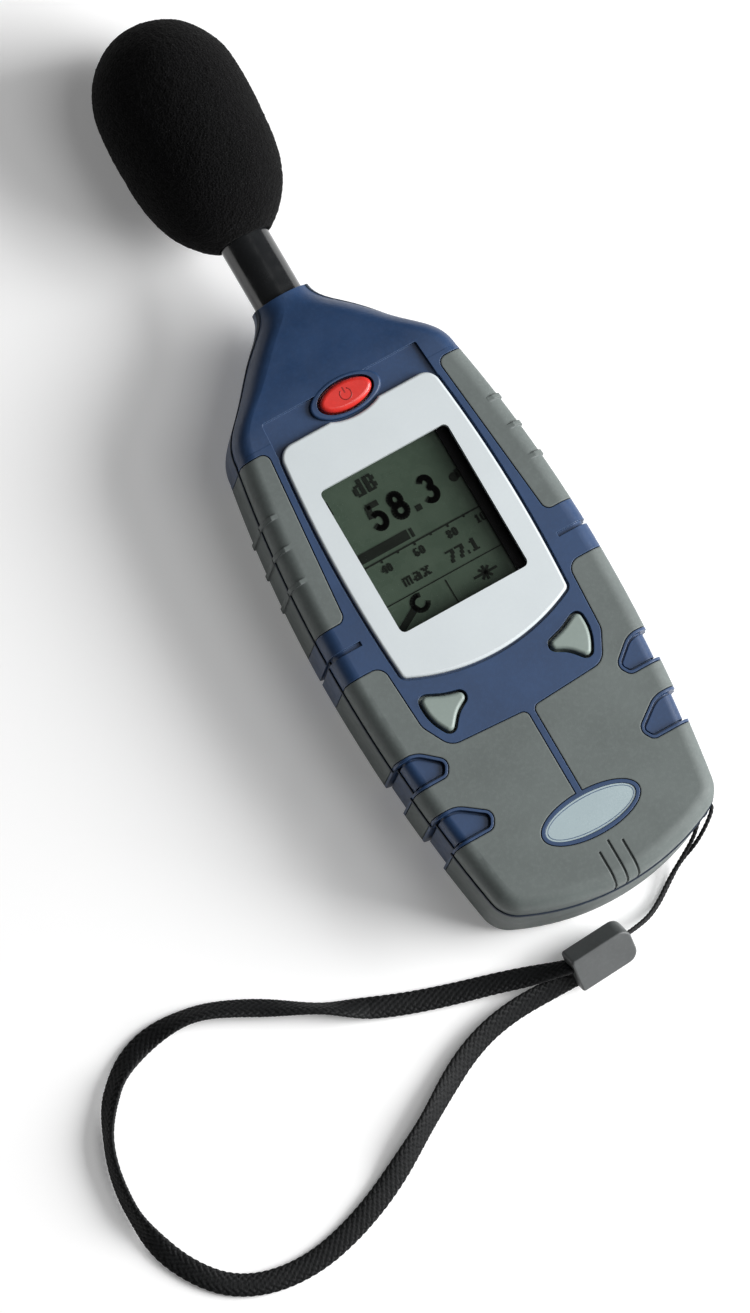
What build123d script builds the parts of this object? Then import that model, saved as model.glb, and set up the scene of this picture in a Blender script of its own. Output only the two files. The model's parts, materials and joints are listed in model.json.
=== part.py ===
from build123d import *
import math
import os

# Hand-held sound level meter, lying on its back, display up. Millimetres.
# Origin: centre of the footprint (strap left out), on the surface the meter lies on.
# +Y runs along the case towards the windscreen, +Z out of the display, +X to the reader's right.

os.makedirs("parts", exist_ok=True)

# ------------------------------------------------------------------ driving dimensions
END_Y = -120.0            # bottom end of the case
COLLAR_Y = 45.5           # front end of the collar that holds the microphone neck
FOAM_TIP_Y = 122.0        # tip of the foam windscreen
THICKNESS = 31.0          # back face to front face
PART_Z = 23.0             # height of the joint between the two shells
WALL = 3.0                # shell wall where it carries a rubber skin
SKIN = 1.2                # thickness of the moulded rubber skin
SKIN_GAP = 0.25           # visible groove round each rubber skin
EDGE_R = 4.0              # rounding of the long case edges
HALF_WIDTH = 35.9         # widest half-width of the case
WIDEST_Y = -45.0          # where the case is widest
UPPER_FLANK_R = 330.0     # plan radius of the flanks above the widest point
LOWER_FLANK_R = 385.0     # plan radius of the flanks below it
END_R = 62.3              # plan radius of the bottom end
END_CORNER_R = 8.0        # plan radius of its two corners
NOSE_Y = 14.0             # where the straight flanks give way to the nose
NOSE_LEAD = 4.0           # how far the nose starts inside the slab
NECK_R = 6.35             # half-inch measuring microphone
NECK_Z = 19.3             # height of the microphone axis
SEAM = 0.6                # half the width of the bead between the shells
BEAD_PROUD = 0.35         # how far the bead stands out of the flanks
RECESS_Z = 29.8           # floor of the recess that holds the display bezel
BEZEL_TOP = 31.5          # top of the bezel
KEY_GAP = 0.75            # clearance round each key
KEY_TOP = 31.8            # top of the keys
BUTTON_Y = 15.8           # centre of the power button
BOARD_Z = 22.8            # underside of the main board
BOARD_T = 1.6             # thickness of the main board
DOOR_T = 2.4              # thickness of the battery door
RUN = 0.08                # running clearance of a pin in its hole
NOTCH_DEPTH = 1.3         # how far the finger notches lie below the case's surface
NOTCH_LIP = 0.9           # blue lip left round each notch
SLOT_Y = -39.0            # the narrow slot across each flank
LINE_HALF = 1.0           # half-width of the blue line down the middle of the rubber
BADGE_Y = -101.7          # centre of the oval badge
BADGE_A = 12.4            # its long half-axis
BADGE_B = 4.7             # its short half-axis
BEZEL_Y1 = 11.7           # top edge of the bezel
BEZEL_Y0 = -56.7          # lowest point of its bowed bottom edge
WINDOW_X = 17.8           # half-width of the display window
WINDOW_Y0 = -42.0         # lower edge of the window
WINDOW_Y1 = -2.0          # upper edge of the window
WINDOW_R = 1.5            # corner radius of the window opening
CASE_SCREWS = ((12.5, 27.0), (24.3, -105.5))
BOARD_SCREWS = ((21.5, 7.5), (19.5, -95.0))
DOOR_X = 16.5             # half-width of the battery door
DOOR_Y0 = -105.5          # its free edge
HINGE_Y = -45.6           # its hinge axis
HINGE_Z = 1.35
TRIPOD_Y = -18.0          # tripod thread
LABEL_Y0 = -41.0          # blank rating label
LABEL_Y1 = -28.5
JACK_Y = -5.0             # output socket, in the right flank
JACK_Z = 12.0
JACK_BARREL_R = 3.0
TRIMMER_Y = -23.0         # calibration trimmer, in the right flank
TRIMMER_Z = 12.5
LUG_X = 28.5              # corner of the case where the strap's lug sits
LUG_Y = -112.7
LUG_Z = 9.5
CORD_D = 1.1              # thin cord of the strap
STRAP_D = 3.2             # woven strap, as a plain round tube of the same bulk
FERRULE_X = -10.7         # middle of the moulded joiner that grips cord and strap
FERRULE_Y = -130.1
FERRULE_Z = 5.8
FERRULE_LONG = 16.4
FERRULE_ROLL = 47.0       # it lies on one long edge
LCD_X = 19.6              # half-width of the liquid-crystal glass
LCD_Y0 = -44.2            # its lower edge
LCD_Y1 = 0.2              # its upper edge
FLANGE_Z = 27.6           # top of the flange that keeps each key inside the case
KEY_FOOT = 26.5           # underside of that flange
DOME_Z = 25.8             # top of the rubber domes and of the switch under the keys
TUBE_Y0 = 30.0            # inner end of the neck tube
TUBE_Y1 = 82.0            # where the capsule screws on
TIP_Y = 93.5              # protective grid's face
FOAM_Y0 = 62.7            # open end of the windscreen
FOAM_R = 19.0             # its widest radius
FOAM_DOME = 38.5          # how far from its open end the domed tip starts
FOAM_LEAN = 2.4           # degrees it leans off the neck's axis, towards +X


def save(shape, node):
    """Write one node, as one or more separate solids."""
    solids = shape.solids()
    body = solids[0] if len(solids) == 1 else Compound(children=list(solids))
    export_step(body, f"parts/{node}.step")


def block(x0, x1, y0, y1, z0, z1):
    """A box given by its two corners on each axis."""
    size = (x1 - x0, y1 - y0, z1 - z0)
    return Pos(x0, y0, z0) * Box(*size, align=(Align.MIN, Align.MIN, Align.MIN))


def prism(face, z0, z1):
    """A plan outline raised from z0 to z1."""
    return Pos(0, 0, z0) * extrude(face, z1 - z0)


def along_y(radius, y0, y1, z=NECK_Z, x=0.0):
    """A round bar along Y."""
    bar = Cylinder(radius, y1 - y0, align=(Align.CENTER, Align.CENTER, Align.MIN))
    return Pos(x, y0, z) * Rot(-90, 0, 0) * bar


def along_x(radius, x0, x1, y, z):
    """A round bar along X."""
    bar = Cylinder(radius, x1 - x0, align=(Align.CENTER, Align.CENTER, Align.MIN))
    return Pos(x0, y, z) * Rot(0, 90, 0) * bar


def along_z(radius, x, y, z0, z1):
    """A round bar along Z."""
    return Pos(x, y, z0) * Cylinder(radius, z1 - z0, align=(Align.CENTER, Align.CENTER, Align.MIN))


def corner_outline(points, radii):
    """A closed plan outline with each corner rounded by its own radius."""
    return make_face(FilletPolyline(*points, radius=radii, close=True))


def mirrored(shape):
    """The same shape on the other side of the case."""
    return mirror(shape, about=Plane.YZ)


# ------------------------------------------------------------------ the case's outer form
def flank_x(y, inset=0.0):
    """Half-width of the case on its two long flank arcs."""
    radius = UPPER_FLANK_R if y > WIDEST_Y else LOWER_FLANK_R
    return HALF_WIDTH - radius + math.sqrt((radius - inset) ** 2 - (y - WIDEST_Y) ** 2)


def lens(radius, y0, y1, inset):
    """Plan between the two flank arcs of one radius, from y0 to y1."""
    strip = Pos(0, (y0 + y1) / 2) * Rectangle(3 * HALF_WIDTH, y1 - y0)
    reach = radius - HALF_WIDTH
    right = Pos(-reach, WIDEST_Y) * Circle(radius - inset)
    left = Pos(reach, WIDEST_Y) * Circle(radius - inset)
    return strip & right & left


def lower_outline(inset):
    """Plan of the case from its bottom end up to the nose."""
    end_centre = END_Y + END_R
    bounds = Pos(0, end_centre) * Circle(END_R - inset) + Pos(0, end_centre + 20) * Rectangle(100, 40)
    lower = lens(LOWER_FLANK_R, END_Y - 5, WIDEST_Y, inset) & bounds
    corners = lower.vertices().sort_by(Axis.Y)[0:2]
    lower = fillet(corners, END_CORNER_R - inset)
    return lower + lens(UPPER_FLANK_R, WIDEST_Y, NOSE_Y, inset)


def nose_sections(inset):
    """Sections from the flanks to the collar: y, half-width, lowest z, highest z, corner radius.

    The first two lie a hair inside the slab, so that the two bodies cross cleanly.
    """
    lead = NOSE_Y - NOSE_LEAD
    return (
        (lead, flank_x(lead, inset) + inset - 0.15, 0.15, THICKNESS - 0.15, EDGE_R),
        (NOSE_Y, flank_x(NOSE_Y, inset) + inset - 0.04, 0.04, THICKNESS - 0.04, EDGE_R),
        (18.5, 29.5, 0.5, THICKNESS - 0.1, 4.3),
        (24.0, 25.3, 2.6, 30.4, 5.2),
        (32.0, 18.0, 6.4, 29.2, 6.4),
        (39.0, 11.4, 9.6, 27.9, 7.2),
        (43.5, 8.1, 11.4, 27.1, 7.4),
        (COLLAR_Y, 7.7, 11.7, 26.9, 7.4),
    )


def envelope(inset):
    """The case's outer form, shrunk all round by inset."""
    slab = prism(lower_outline(inset), inset, THICKNESS - inset)
    rims = [e for e in slab.edges() if e.bounding_box().size.Z < 0.01 and e.center().Y < NOSE_Y - 0.01]
    slab = fillet(rims, max(EDGE_R - inset, 0.8))
    sections = []
    for y, half, low, high, radius in nose_sections(inset):
        place = Plane(origin=(0, y, (low + high) / 2), x_dir=(1, 0, 0), z_dir=(0, 1, 0))
        wide, tall = 2 * (half - inset), high - low - 2 * inset
        sections.append(place * RectangleRounded(wide, tall, max(radius - inset, 0.8)))
    return slab + loft(sections)


# ------------------------------------------------------------------ plan outlines of surface features
def grip_outline():
    """Upper side grip, right-hand side."""
    return corner_outline([(23.9, 12.6), (50, 12.6), (50, -32.3), (28.2, -32.3)], [2.0, 0, 0, 2.0])


def notch_outlines():
    """The two finger notches in the right-hand flank."""
    upper = corner_outline([(50, -68.9), (30, -69.2), (24.4, -74.0), (26.0, -76.6), (50, -76.6)],
                           [0, 5.5, 1.6, 1.4, 0])
    lower = corner_outline([(50, -84.9), (28.0, -85.2), (21.2, -90.2), (22.8, -93.0), (50, -93.0)],
                           [0, 6.0, 1.6, 1.4, 0])
    return upper + lower


def badge_outline(margin=0.0):
    return Pos(0, BADGE_Y) * Ellipse(BADGE_A + margin, BADGE_B + margin)


def front_rubber_outline(grow=0.0):
    """Rubber over the lower front: two lobes that meet below the badge."""
    lobe = corner_outline([(LINE_HALF, -130), (LINE_HALF, -72.6), (21.3, -71.4), (25.2, -64.0),
                           (26.1, -46.3), (50, -46.3), (50, -130)], [0, 1.6, 4.5, 5.0, 3.0, 0, 0])
    lobe = lobe - offset(notch_outlines(), NOTCH_LIP)
    bridge = Pos(0, BADGE_Y - 15) * Rectangle(2 * LINE_HALF, 30)
    plan = lobe + mirrored(lobe) + bridge
    if grow:
        plan = offset(plan, grow)
    return plan - badge_outline(1.2 - grow)


def rear_rubber_outline():
    """Rubber over the lower back, round the battery door."""
    side = corner_outline([(19.0, -130), (19.0, -58), (26.1, -46.3), (50, -46.3), (50, -130)],
                          [0, 4.0, 3.0, 0, 0])
    side = side - offset(notch_outlines(), NOTCH_LIP)
    return side + mirrored(side) + Pos(0, DOOR_Y0 - 16.5) * Rectangle(50, 30)


def bezel_outline():
    """Silver bezel: waisted sides, bowed bottom, and a bite for the power button's collar."""
    edges = [
        Line((-21.4, BEZEL_Y1), (21.4, BEZEL_Y1)),
        ThreePointArc((21.4, BEZEL_Y1), (23.9, -24), (23.1, -51.3)),
        ThreePointArc((23.1, -51.3), (0, BEZEL_Y0), (-23.1, -51.3)),
        ThreePointArc((-23.1, -51.3), (-23.9, -24), (-21.4, BEZEL_Y1)),
    ]
    face = make_face(Curve() + edges)
    corners = face.vertices().sort_by(Axis.Y)
    face = fillet(corners[2:4], 4.0)
    face = fillet(face.vertices().sort_by(Axis.Y)[0:2], 1.5)
    return face - Pos(0, BUTTON_Y) * Ellipse(9.9, 5.6)


def recess_outline():
    """Recess round the bezel and up to the nose."""
    top = corner_outline([(-21.5, 19.1), (21.5, 19.1), (22.4, 6), (-22.4, 6)], [0.6, 0.6, 0, 0])
    whole = bezel_outline() + Pos(0, BUTTON_Y) * Ellipse(9.9, 5.6)
    return offset(whole & Pos(0, -25) * Rectangle(100, 2 * 25 + 2 * BEZEL_Y1), 0.7) + top


def key_outline(margin=0.0):
    """Right-hand key: a rounded triangle with two hollow sides and one full side."""
    points = [(22.2, -57.2), (22.6, -63.3), (19.3, -69.0), (15.6, -64.6), (10.0, -61.6), (16.8, -59.8)]
    face = corner_outline(points, [1.3, 12.0, 1.3, 9.0, 1.3, 14.0])
    return offset(face, margin) if margin else face


def button_outline(margin=0.0):
    return Pos(0, BUTTON_Y) * Ellipse(7.0 + margin, 3.4 + margin)


# ------------------------------------------------------------------ the two shells and their skins
OUTER = envelope(0)
SKIN_CORE = envelope(SKIN)
CAVITY = envelope(WALL)
SWOLLEN = envelope(-BEAD_PROUD)
NOTCH_CORE = envelope(NOTCH_DEPTH)
GROOVE_CORE = envelope(NOTCH_DEPTH + 0.8)
ABOVE = block(-60, 60, -130, 60, PART_Z, 60)
BELOW = block(-60, 60, -130, 60, -10, PART_Z)
SEAM_SLAB = block(-60, 60, -130, 60, PART_Z - SEAM, PART_Z + SEAM)
NOTCHES = prism(notch_outlines() + mirrored(notch_outlines()), -5, 40)
NOTCH_FLOORS = offset(notch_outlines(), -0.6)
NOTCH_EDGES = NOTCHES - prism(NOTCH_FLOORS + mirrored(NOTCH_FLOORS), -6, 41)
NECK_BORE = along_y(NECK_R + 0.05, 31.6, COLLAR_Y + 1)
SEAL_GROOVE = along_y(NECK_R + 0.65, 43.4, 44.6)
RIB = block(-40, 40, 31.7, 33.7, 0, THICKNESS) & envelope(WALL - 0.3)

# Ribs, posts, boss and battery bay all start inside the wall's thickness.
WALL_CORE = envelope(1.6)
posts = Part()
for side in (1, -1):
    for post_x, post_y in CASE_SCREWS:
        posts += along_z(3.4, side * post_x, post_y, 0, THICKNESS)
posts &= WALL_CORE
bay = block(-15.2, 15.2, -101.0, -46.8, 1.6, 22.0)
boss = along_z(7.2, 0, TRIPOD_Y, 1.6, 10.4)

skin = OUTER - SKIN_CORE
shells = (OUTER - CAVITY) + RIB + posts + bay + boss
shells -= (SEAM_SLAB - SKIN_CORE)
shells -= (OUTER - NOTCH_CORE) & NOTCHES
shells -= (OUTER - GROOVE_CORE) & NOTCH_EDGES
shells -= (SEAM_SLAB - envelope(NOTCH_DEPTH + 0.9)) & NOTCHES
side_slots = block(27.5, 50, SLOT_Y - 0.6, SLOT_Y + 0.6, -5, 40)
side_slots += mirrored(side_slots)
shells -= side_slots - envelope(1.0)
shells -= NECK_BORE
shells -= SEAL_GROOVE

bead = ((SWOLLEN - SKIN_CORE) & SEAM_SLAB) - NOTCHES
bead += (envelope(NOTCH_DEPTH - BEAD_PROUD) - envelope(NOTCH_DEPTH + 0.9)) & SEAM_SLAB & NOTCHES
bead -= NECK_BORE
bead -= SEAL_GROOVE
bead -= side_slots - envelope(0.6)
save(bead, "seam_bead")

front_rubber = front_rubber_outline()
grip = grip_outline()
both_grips = grip + mirrored(grip)
wide_grips = offset(grip, SKIN_GAP) + mirrored(offset(grip, SKIN_GAP))
wide_front = front_rubber_outline(SKIN_GAP)
rear_rubber = rear_rubber_outline()
wide_rear = offset(rear_rubber, SKIN_GAP)

front_shell = (shells & ABOVE) - (skin & prism(wide_grips + wide_front, PART_Z, 40))
rear_shell = (shells & BELOW) - (skin & prism(wide_grips + wide_rear, -5, PART_Z))

# Rubber skins, with three short ribs across each upper grip and three finger grooves at the bottom end.
front_zone = block(-60, 60, -130, 60, PART_Z + SEAM, 60)
rear_zone = block(-60, 60, -130, 60, -10, PART_Z - SEAM)
ribs = Part()
for rib_y, rib_x in ((-2.0, 29.5), (-10.2, 27.6), (-19.0, 30.0)):
    ribs += block(rib_x, 50, rib_y - 0.6, rib_y + 0.6, -5, 40)
ribs = (envelope(-0.5) - envelope(0.4)) & ribs & block(-60, 60, -130, 60, 0, THICKNESS)
screw_heads = Part()
for side in (1, -1):
    for screw_x, screw_y in CASE_SCREWS:
        screw_heads += along_z(2.8, side * screw_x, screw_y, -1, 8.0)
jack_hole = along_x(JACK_BARREL_R + 0.05, 25, 50, JACK_Y, JACK_Z)
trimmer_hole = along_x(1.9, 25, 50, TRIMMER_Y, TRIMMER_Z)

right_skin = (skin & prism(grip, -5, 40)) + (ribs & prism(grip, -5, 40))
left_skin = mirrored(right_skin)
save(right_skin & front_zone, "front_grip_right")
save(left_skin & front_zone, "front_grip_left")
save((right_skin & rear_zone) - jack_hole - trimmer_hole, "rear_grip_right")
save(left_skin & rear_zone, "rear_grip_left")

front_skin = skin & prism(front_rubber, 0, 40) & front_zone
for groove_x, groove_y in ((-3.1, -111.0), (0.1, -109.4), (3.3, -111.0)):
    front_skin -= block(groove_x - 0.28, groove_x + 0.28, -130, groove_y, 0, 40) - envelope(0.6)
save(front_skin, "front_rubber")

# ------------------------------------------------------------------ front shell: openings, collar, posts
front_shell -= prism(recess_outline(), RECESS_Z, 40)
front_shell -= block(-WINDOW_X - 1.4, WINDOW_X + 1.4, WINDOW_Y0 - 1.4, WINDOW_Y1 + 1.4, 28.8, 40)
front_shell -= block(-WINDOW_X - 0.4, WINDOW_X + 0.4, WINDOW_Y0 - 0.4, WINDOW_Y1 + 0.4, 20, 40)
collar = prism(Pos(0, BUTTON_Y) * Ellipse(9.5, 4.9), RECESS_Z - 0.6, 31.0)
collar = fillet(collar.edges().group_by(Axis.Z)[-1], 0.5)
front_shell += collar
front_shell -= prism(button_outline(0.65), 20, 40)
front_shell -= prism(key_outline(KEY_GAP), 20, 40)
front_shell -= prism(mirrored(key_outline(KEY_GAP)), 20, 40)
front_shell -= prism(badge_outline(), THICKNESS - 0.9, 40)
for side in (1, -1):
    for post_x, post_y in CASE_SCREWS:
        front_shell -= along_z(1.3, side * post_x, post_y, 20.0, 26.5)
    for post_x, post_y in BOARD_SCREWS:
        front_shell += along_z(2.0, side * post_x, post_y, BOARD_Z + BOARD_T, 28.5)
        front_shell -= along_z(1.15, side * post_x, post_y, 20, 27.6)
save(front_shell, "front_shell")

# ------------------------------------------------------------------ rear shell: battery bay, posts, tripod boss
rear_shell -= block(-13.6, 13.6, -99.4, -48.4, -1, 20.8)
rear_shell -= block(-DOOR_X - 0.2, DOOR_X + 0.2, DOOR_Y0 - 0.2, HINGE_Y + 1.45, -1, DOOR_T + 0.05)
rear_shell -= block(-4.4, 4.4, -104.9, -102.3, -1, 10)
rear_shell -= along_x(0.8 + RUN, -DOOR_X - 2.2, DOOR_X + 2.2, HINGE_Y, HINGE_Z)
rear_shell -= along_x(HINGE_Z + 0.12, -DOOR_X - 0.2, DOOR_X + 0.2, HINGE_Y, HINGE_Z)
rear_shell -= along_z(5.0, 0, TRIPOD_Y, -1, 9.4)
rear_shell -= block(-14.1, 14.1, LABEL_Y0 - 0.1, LABEL_Y1 + 0.1, -1, 0.3)
rear_rubber_skin = skin & prism(rear_rubber, -5, PART_Z) & rear_zone
for side in (1, -1):
    for post_x, post_y in CASE_SCREWS:
        rear_shell -= along_z(1.6, side * post_x, post_y, -1, 30)
rear_shell -= screw_heads
rear_shell -= jack_hole
rear_shell -= trimmer_hole

lug_place = Pos(LUG_X, LUG_Y) * Rot(0, 0, -45)
lug_pocket = lug_place * block(-2.2, 6, -5.4, 3.4, LUG_Z - 2.6, LUG_Z + 2.6)
rear_shell -= lug_pocket
rear_rubber_skin -= lug_pocket
rear_rubber_skin -= screw_heads
save(rear_rubber_skin, "rear_rubber")
save(rear_shell, "rear_shell")

lug = lug_place * block(-2.2, 0.6, -0.8, 0.8, LUG_Z - 2.6, LUG_Z + 2.6)
lug -= lug_place * along_y(CORD_D / 2 + 0.1, -5, 5, LUG_Z, -0.9)
save(lug, "strap_lug")

# ------------------------------------------------------------------ display
bezel = prism(bezel_outline(), RECESS_Z, BEZEL_TOP)
bezel = fillet(bezel.edges().group_by(Axis.Z)[-1], 0.7)
opening = RectangleRounded(2 * WINDOW_X, WINDOW_Y1 - WINDOW_Y0, WINDOW_R)
bezel -= prism(Pos(0, (WINDOW_Y0 + WINDOW_Y1) / 2) * opening, 20, 40)
save(bezel, "display_bezel")

save(block(-WINDOW_X - 1.3, WINDOW_X + 1.3, WINDOW_Y0 - 1.3, WINDOW_Y1 + 1.3, 28.8, RECESS_Z - 0.05),
     "display_window")

lcd_frame = block(-LCD_X - 1.2, LCD_X + 1.2, -45.4, 1.4, 24.5, 27.95)
lcd_frame -= block(-LCD_X - 0.1, LCD_X + 0.1, LCD_Y0 - 0.1, LCD_Y1 + 0.1, 20, 26.9)
lcd_frame -= block(-18.9, 15.3, -43.1, -0.9, 20, 40)
save(lcd_frame, "lcd_frame")
save(block(-LCD_X, LCD_X, LCD_Y0, LCD_Y1, 25.8, 26.88), "lcd_glass")
save(block(-LCD_X, LCD_X, LCD_Y0, LCD_Y1, BOARD_Z + BOARD_T, 25.75), "backlight_panel")

# ------------------------------------------------------------------ boards
main_board = prism(corner_outline([(-23.5, -101.5), (23.5, -101.5), (23.5, 10.5), (17, 20), (-17, 20),
                                   (-23.5, 10.5)], [2, 2, 3, 2, 2, 3]), BOARD_Z, BOARD_Z + BOARD_T)
board_screws = Part()
for side in (1, -1):
    for screw_x, screw_y in BOARD_SCREWS:
        main_board -= along_z(1.3, side * screw_x, screw_y, 20, 26)
        board_screws += along_z(1.1, side * screw_x, screw_y, BOARD_Z - 0.5, 27.3)
        board_screws += along_z(2.0, side * screw_x, screw_y, BOARD_Z - 1.4, BOARD_Z)
save(main_board, "main_board")
save(board_screws, "board_screws")

case_screws = Part()
for side in (1, -1):
    for screw_x, screw_y in CASE_SCREWS:
        screw = along_z(2.6, side * screw_x, screw_y, 5.8, 8.0)
        screw += along_z(1.25, side * screw_x, screw_y, 7.0, 26.0)
        slot = Pos(side * screw_x, screw_y, 5.8)
        screw -= slot * Box(3.6, 0.7, 1.8) + slot * Box(0.7, 3.6, 1.8)
        case_screws += screw
save(case_screws, "case_screws")

processor = block(-6, 8, -88, -74, BOARD_Z + BOARD_T, 26.6)
save(processor, "processor_shield")
save(block(-10.0, 10.0, 12.6, 19.2, BOARD_Z + BOARD_T, DOME_Z), "power_switch")
save(block(20.6, 29.2, -27.5, -0.8, 14.6, 16.0), "socket_board")
save(block(20.8, 23.2, -24.0, -6.0, 16.0, BOARD_Z), "board_header")

# ------------------------------------------------------------------ keys and power button

def key_body(outline, flange, top, edge):
    """A key with a rounded crown above its retaining flange."""
    crown = prism(outline, KEY_FOOT, top)
    crown = fillet(crown.edges().group_by(Axis.Z)[-1], edge)
    return crown + prism(flange, KEY_FOOT, FLANGE_Z)


right_key = key_body(key_outline(), key_outline(KEY_GAP + 0.7), KEY_TOP, 0.9)
save(right_key, "right_key")
save(mirrored(right_key), "left_key")
button_flange = Pos(0, BUTTON_Y) * Ellipse(8.6, 4.9)
save(key_body(button_outline(), button_flange, 31.9, 1.1), "power_button")

keypad = block(-23.0, 23.0, -69.5, -56.5, BOARD_Z + BOARD_T, 25.0)
for side in (1, -1):
    dome = Cone(4.2, 3.0, DOME_Z - 25.0, align=(Align.CENTER, Align.CENTER, Align.MIN))
    keypad += Pos(side * 18.4, -62.6, 25.0) * dome
save(keypad, "keypad_mat")

# ------------------------------------------------------------------ badge and label
badge = prism(badge_outline(-0.1), THICKNESS - 0.9, THICKNESS - 0.25)
save(badge, "badge_plate")
save(block(-14.0, 14.0, LABEL_Y0, LABEL_Y1, 0.05, 0.3), "rating_label")

# ------------------------------------------------------------------ microphone
neck = along_y(NECK_R, TUBE_Y0, TUBE_Y1) + along_y(6.8, TUBE_Y0, 31.6)
neck -= along_y(5.2, TUBE_Y0 - 1, TUBE_Y1 + 1)
save(neck, "microphone_neck")
save(along_y(NECK_R + 0.6, 43.5, 44.5) - along_y(NECK_R + 0.01, 43, 45), "neck_seal")
save(block(-4.5, 4.5, 38.0, 77.0, NECK_Z - 0.5, NECK_Z + 0.5), "preamplifier_board")
capsule = along_y(NECK_R, TUBE_Y1, TIP_Y - 3.6) + along_y(5.15, 78.0, TUBE_Y1)
save(capsule, "microphone_capsule")
save(along_y(5.4, TIP_Y - 3.6, TIP_Y - 3.3), "microphone_diaphragm")
grid = along_y(NECK_R, TIP_Y - 3.6, TIP_Y) - along_y(5.6, TIP_Y - 4, TIP_Y - 0.7)
grid -= along_y(0.7, TIP_Y - 2, TIP_Y + 1)
for i in range(8):
    angle = i * math.tau / 8
    grid -= along_y(0.7, TIP_Y - 2, TIP_Y + 1, NECK_Z + 3.4 * math.sin(angle), 3.4 * math.cos(angle))
save(grid, "microphone_grid")

# Foam windscreen: an egg with a flat foot, leaning a little to the right of the neck's axis.
foam_length = FOAM_TIP_Y + BEAD_PROUD - FOAM_Y0
foam_dome = foam_length - FOAM_DOME
foam_points = [(7.2, 0), (14.3, 7.3), (17.9, 16.3), (18.9, 26.0)]
for step in range(5):
    turn = step * math.pi / 8
    foam_points.append((FOAM_R * math.cos(turn), FOAM_DOME + foam_dome * math.sin(turn)))
foam_side = Spline(*foam_points)
foam_face = make_face(Curve() + [foam_side, Line((0, foam_length), (0, 0)), Line((0, 0), (7.2, 0))])
foam = revolve(foam_face, Axis.Y, 360)
foam = Pos(0, FOAM_Y0, NECK_Z) * Rot(0, 0, -FOAM_LEAN) * foam
foam -= along_y(NECK_R + 0.3, FOAM_Y0 - 3, TIP_Y + 1.2)
save(foam, "windscreen")

# ------------------------------------------------------------------ power
battery = block(-13.2, 13.2, -98.9, -52.4, 3.1, 20.6)
battery = fillet(battery.edges().filter_by(Axis.Y), 1.5)
battery += along_y(2.9, -52.4, -50.2, 11.8, 6.35) + along_y(3.3, -52.4, -50.2, 11.8, -6.35)
save(battery, "battery")
snap = block(-12.4, 12.4, -52.3, -48.9, 5.2, 18.4)
snap -= along_y(3.0, -53, -50.1, 11.8, 6.35) + along_y(3.4, -53, -50.1, 11.8, -6.35)
save(snap, "battery_snap")

door = block(-DOOR_X, DOOR_X, DOOR_Y0, HINGE_Y, 0, DOOR_T)
door += along_x(HINGE_Z, -DOOR_X, DOOR_X, HINGE_Y, HINGE_Z) & block(-20, 20, -60, -40, 0, DOOR_T)
door += along_x(0.8, -DOOR_X - 2, DOOR_X + 2, HINGE_Y, HINGE_Z)
door += block(-4, 4, -104.5, -102.9, 1, 6.0)
for rib_y in (-99.5, -97.5, -95.5):
    door -= block(-7, 7, rib_y - 0.4, rib_y + 0.4, -1, 0.5)
save(door, "battery_door")
save(block(-8, 8, -92, -58, DOOR_T, 3.05), "battery_pad")

# ------------------------------------------------------------------ fastening and sockets
save(along_z(5.0, 0, TRIPOD_Y, 0.3, 9.4) - along_z(3.175, 0, TRIPOD_Y, 0, 8.3), "tripod_insert")
jack = block(20.8, 29.6, JACK_Y - 3.8, JACK_Y + 3.8, 8.4, 14.6)
jack += along_x(JACK_BARREL_R, 29.6, 33.2, JACK_Y, JACK_Z)
jack -= along_x(1.8, 22.2, 40, JACK_Y, JACK_Z)
save(jack, "output_socket")
trimmer = block(23.6, 29.6, TRIMMER_Y - 3, TRIMMER_Y + 3, 9.5, 14.6)
trimmer -= along_x(1.5 + RUN, 27.6, 40, TRIMMER_Y, TRIMMER_Z)
save(trimmer, "trimmer_body")
rotor = along_x(1.5, 27.65, 30.2, TRIMMER_Y, TRIMMER_Z)
rotor -= Pos(30.2, TRIMMER_Y, TRIMMER_Z) * Box(1.0, 4, 0.5)
save(rotor, "trimmer_screw")

# ------------------------------------------------------------------ wrist strap

def corner_radii(points, smallest):
    """Each corner's arc: 0.45 of its shorter run over the tangent of half its turn."""
    vectors = [Vector(*p) for p in points]
    radii = []
    for before, here, after in zip(vectors, vectors[1:], vectors[2:]):
        run_in, run_out = here - before, after - here
        turn = math.radians(run_in.get_angle(run_out))
        radii.append(0.45 * min(run_in.length, run_out.length) / math.tan(turn / 2))
    print("smallest radius", round(min(radii), 2), "wanted", smallest)
    return radii


def tube(points, diameter, smallest, name):
    """A round tube along straight runs joined by tangent arcs."""
    radii = corner_radii(points, smallest)
    path = FilletPolyline(*points, radius=radii)
    face = Plane(origin=path @ 0, z_dir=path % 0) * Circle(diameter / 2)
    solid = sweep(face, path=path)
    expected = math.pi * diameter**2 / 4 * path.length
    print(name, "length", round(path.length, 1), "volume ratio", round(solid.volume / expected, 4))
    return solid


ferrule = Box(FERRULE_LONG, 10.0, 6.0)
ferrule = fillet(ferrule.edges().filter_by(Axis.Z).sort_by(Axis.X)[2:4], 3.0)
ferrule = fillet(ferrule.edges().filter_by(Axis.Z).sort_by(Axis.X)[0:2], 0.8)
ferrule = fillet(ferrule.edges().group_by(Axis.Z)[0] + ferrule.edges().group_by(Axis.Z)[-1], 0.5)
ferrule = Pos(FERRULE_X, FERRULE_Y, FERRULE_Z) * Rot(0, 0, 3.5) * Rot(FERRULE_ROLL, 0, 0) * ferrule
save(ferrule, "strap_ferrule")

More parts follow.
